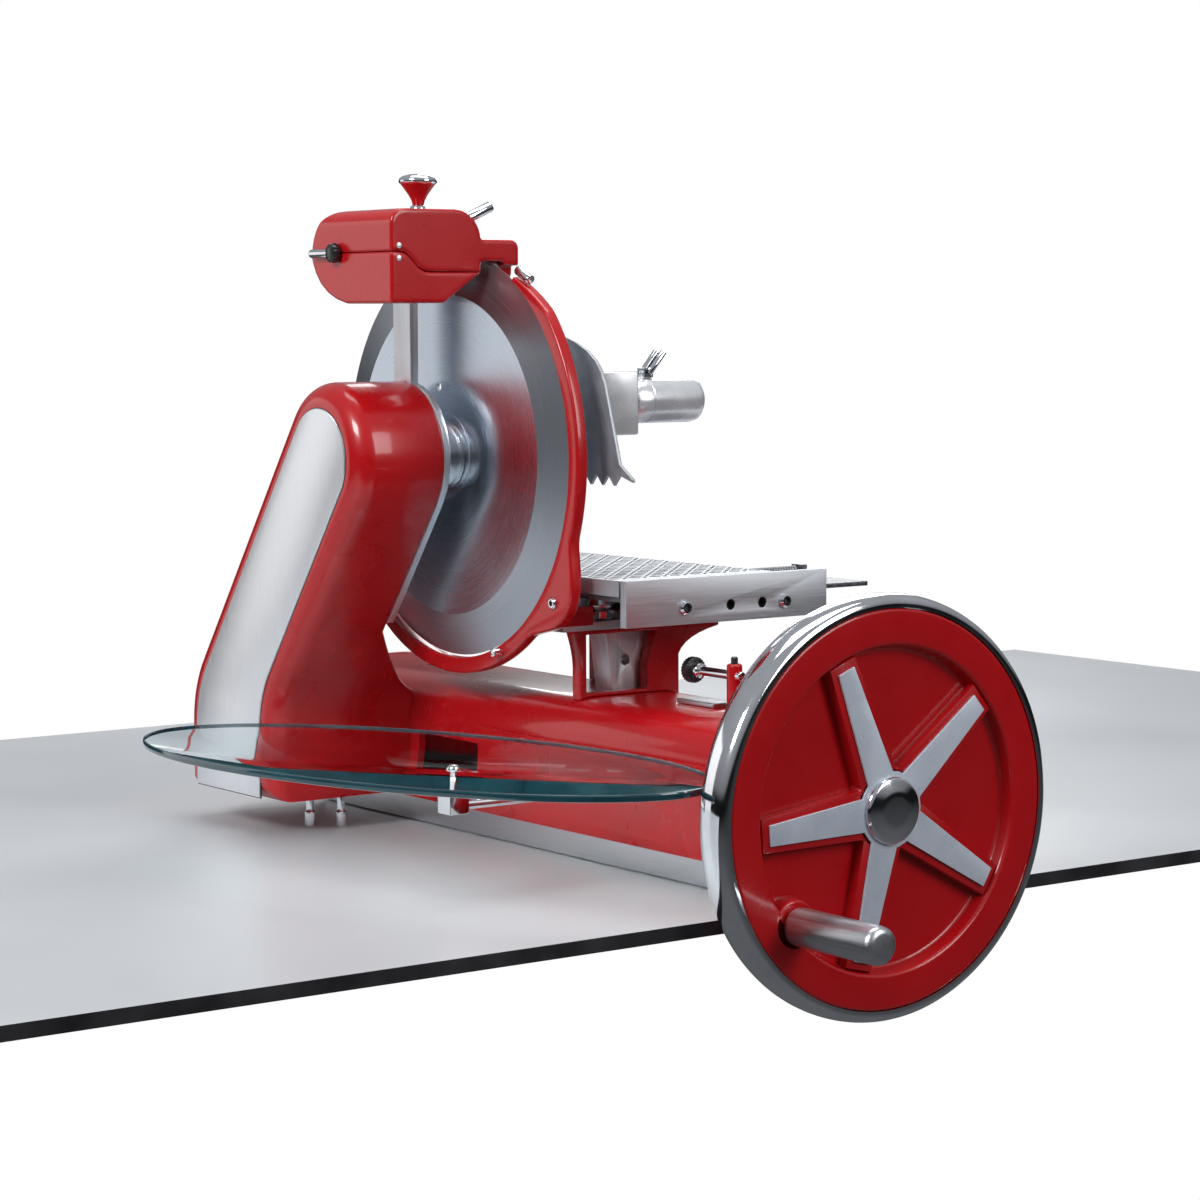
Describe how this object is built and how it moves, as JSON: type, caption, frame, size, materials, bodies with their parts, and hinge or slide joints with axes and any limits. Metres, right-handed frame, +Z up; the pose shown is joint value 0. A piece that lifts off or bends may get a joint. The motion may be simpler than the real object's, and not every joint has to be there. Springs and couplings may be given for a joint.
{
  "type": "hand crank meat slicer",
  "caption": "Hand cranked flywheel meat slicer with round blade and ring guard, sharpener on top, sliding food table with press and oval glass tray.",
  "frame": {"origin": "centre of the plinth's flat underside, which stands on the counter", "axes": "+X towards the flywheel and crank, -Y to the operator's side with the drive column and glass tray, +Z up"},
  "size_m": [0.8584, 0.5825, 0.671],
  "materials": {
    "red_paint": "gloss",
    "bare_steel": "brushed",
    "polished_blade": "polished",
    "bright_chrome": "polished",
    "pale_aluminium": "satin",
    "tread_aluminium": "tread",
    "dark_plate": "dark",
    "drive_steel": "machined",
    "iron": "rough",
    "inlay_enamel": "satin",
    "stone": "matt",
    "black_knob": "gloss",
    "tray_glass": "clear"
  },
  "bodies": {
    "frame": {"base_casting": "red_paint", "column_casting": "red_paint", "pedestal_casting": "red_paint", "adjuster_post": "red_paint", "plinth_tray": "bare_steel", "column_face_plate": "bare_steel", "column_foot_front": "bare_steel", "column_foot_rear": "bare_steel", "support_plate": "pale_aluminium", "flywheel_bearing": "drive_steel", "blade_bearing_rear": "drive_steel", "gear_frame": "iron", "drive_chain": "drive_steel", "guide_block": "pale_aluminium", "flange_plate": "bare_steel", "adjuster_strip": "bare_steel"},
    "flywheel": {"flywheel_shaft": "drive_steel", "bevel_gear": "drive_steel", "flywheel_disc": "red_paint", "flywheel_rim": "bright_chrome", "spoke_inlay": "inlay_enamel", "flywheel_hub_cap": "bright_chrome", "crank_pin": "drive_steel"},
    "crank_grip": {"crank_grip": "bare_steel"},
    "cross_shaft": {"pinion_shaft": "drive_steel", "lower_sprocket": "drive_steel"},
    "blade": {"blade_shaft": "drive_steel", "upper_sprocket": "drive_steel", "blade_hub": "bright_chrome", "blade": "polished_blade"},
    "ring_guard": {"ring_guard": "red_paint", "guard_stud": "bright_chrome", "guard_pin": "bright_chrome"},
    "sharpener": {"sharpener_lower_shell": "red_paint", "sharpener_cover": "red_paint"},
    "sharpener_top_knob": {"sharpener_top_knob": "bright_chrome"},
    "sharpener_lock_pin": {"sharpener_lock_pin": "bright_chrome"},
    "sharpener_end_knob": {"sharpener_end_knob": "black_knob"},
    "honing_stone": {"honing_stone": "stone"},
    "grinding_stone": {"grinding_stone": "stone"},
    "roller_front_right": {"guide_roller_front_right": "bright_chrome"},
    "roller_front_left": {"guide_roller_front_left": "bright_chrome"},
    "roller_rear_right": {"guide_roller_rear_right": "bright_chrome"},
    "roller_rear_left": {"guide_roller_rear_left": "bright_chrome"},
    "carriage": {"carriage_rail_front": "bare_steel", "carriage_rail_rear": "bare_steel", "carriage_end_block": "bare_steel", "carriage_plate": "dark_plate", "carriage_end_bar": "bare_steel"},
    "feed_screw": {"feed_screw": "drive_steel"},
    "food_table": {"food_table": "tread_aluminium", "press_post": "bright_chrome"},
    "press": {"press_arm": "bright_chrome", "press_plate": "bare_steel", "press_grip": "bright_chrome"},
    "lock_lever": {"lock_lever": "bright_chrome"},
    "tray": {"glass_tray": "tray_glass", "tray_arm_1": "bright_chrome", "tray_arm_2": "bright_chrome"},
    "adjuster": {"adjuster_spindle": "bright_chrome"}
  },
  "joints": [
    {"name": "flywheel_turn", "type": "hinge", "parent": "frame", "child": "flywheel", "pos_m": [0.39, 0, 0.077], "axis": [1, 0, 0], "continuous": true},
    {"name": "crank_grip_spin", "type": "hinge", "parent": "flywheel", "child": "crank_grip", "pos_m": [0.45, -0.09499, -0.00271], "axis": [1, 0, 0], "continuous": true},
    {"name": "cross_shaft_turn", "type": "hinge", "parent": "frame", "child": "cross_shaft", "pos_m": [-0.2575, -0.12, 0.077], "axis": [0, 1, 0], "continuous": true},
    {"name": "blade_turn", "type": "hinge", "parent": "frame", "child": "blade", "pos_m": [-0.065, -0.09, 0.34], "axis": [0, 1, 0], "continuous": true},
    {"name": "guard_lift_off", "type": "slide", "parent": "frame", "child": "ring_guard", "axis": [0, -1, 0], "range_m": [0, 0.018]},
    {"name": "sharpener_raise", "type": "slide", "parent": "frame", "child": "sharpener", "axis": [0, 0, 1], "range_m": [0, 0.03]},
    {"name": "sharpener_knob_turn", "type": "hinge", "parent": "sharpener", "child": "sharpener_top_knob", "pos_m": [-0.0325, -0.14675, 0.56], "axis": [0, 0, 1], "continuous": true},
    {"name": "sharpener_lock_pin_turn", "type": "hinge", "parent": "sharpener", "child": "sharpener_lock_pin", "pos_m": [-0.016, -0.1093, 0.5422], "axis": [0, 0.9135, 0.4067], "range_deg": [0, 90]},
    {"name": "sharpener_end_knob_turn", "type": "hinge", "parent": "sharpener", "child": "sharpener_end_knob", "pos_m": [-0.09, -0.196, 0.51415], "axis": [0, 1, 0], "range_deg": [-90, 90]},
    {"name": "honing_stone_spin", "type": "hinge", "parent": "sharpener", "child": "honing_stone", "pos_m": [-0.022, -0.083, 0.49763], "axis": [0, 1, 0], "continuous": true},
    {"name": "grinding_stone_spin", "type": "hinge", "parent": "sharpener", "child": "grinding_stone", "pos_m": [-0.05015, -0.105, 0.50637], "axis": [0, 1, 0], "continuous": true},
    {"name": "carriage_travel", "type": "slide", "parent": "frame", "child": "carriage", "axis": [1, 0, 0], "range_m": [0, 0.2]},
    {"name": "roller_front_right_turn", "type": "hinge", "parent": "frame", "child": "roller_front_right", "pos_m": [0.048, -0.02, 0.21], "axis": [0, 0, 1], "range_deg": [-720, 0]},
    {"name": "roller_front_left_turn", "type": "hinge", "parent": "frame", "child": "roller_front_left", "pos_m": [-0.028, -0.02, 0.21], "axis": [0, 0, 1], "range_deg": [-720, 0]},
    {"name": "roller_rear_right_turn", "type": "hinge", "parent": "frame", "child": "roller_rear_right", "pos_m": [0.048, 0.091, 0.21], "axis": [0, 0, 1], "range_deg": [0, 720]},
    {"name": "roller_rear_left_turn", "type": "hinge", "parent": "frame", "child": "roller_rear_left", "pos_m": [-0.028, 0.091, 0.21], "axis": [0, 0, 1], "range_deg": [0, 720]},
    {"name": "table_feed", "type": "slide", "parent": "carriage", "child": "food_table", "axis": [0, 1, 0], "range_m": [0, 0.09]},
    {"name": "feed_screw_turn", "type": "hinge", "parent": "carriage", "child": "feed_screw", "pos_m": [0.06, 0.06, 0.2332], "axis": [0, 1, 0], "range_deg": [0, 2700]},
    {"name": "press_height", "type": "slide", "parent": "food_table", "child": "press", "axis": [0, 0, 1], "range_m": [-0.07, 0.025]},
    {"name": "lock_lever_swing", "type": "hinge", "parent": "press", "child": "lock_lever", "pos_m": [0.088, 0.003, 0.41], "axis": [0, 0, 1], "range_deg": [-45, 45]},
    {"name": "tray_pull", "type": "slide", "parent": "frame", "child": "tray", "axis": [0, -1, 0], "range_m": [0, 0.04]},
    {"name": "adjuster_turn", "type": "hinge", "parent": "frame", "child": "adjuster", "pos_m": [0.17, 0.008, 0.163], "axis": [1, 0, 0], "continuous": true}
  ],
  "couplings": [
    {"joint": "cross_shaft_turn", "follows": "flywheel_turn", "ratio": 2.2},
    {"joint": "blade_turn", "follows": "flywheel_turn", "ratio": 4.4},
    {"joint": "roller_front_right_turn", "follows": "carriage_travel", "rad_per_m": -62.5},
    {"joint": "roller_front_left_turn", "follows": "carriage_travel", "rad_per_m": -62.5},
    {"joint": "roller_rear_right_turn", "follows": "carriage_travel", "rad_per_m": 62.5},
    {"joint": "roller_rear_left_turn", "follows": "carriage_travel", "rad_per_m": 62.5},
    {"joint": "feed_screw_turn", "follows": "table_feed", "rad_per_m": 523.6}
  ]
}
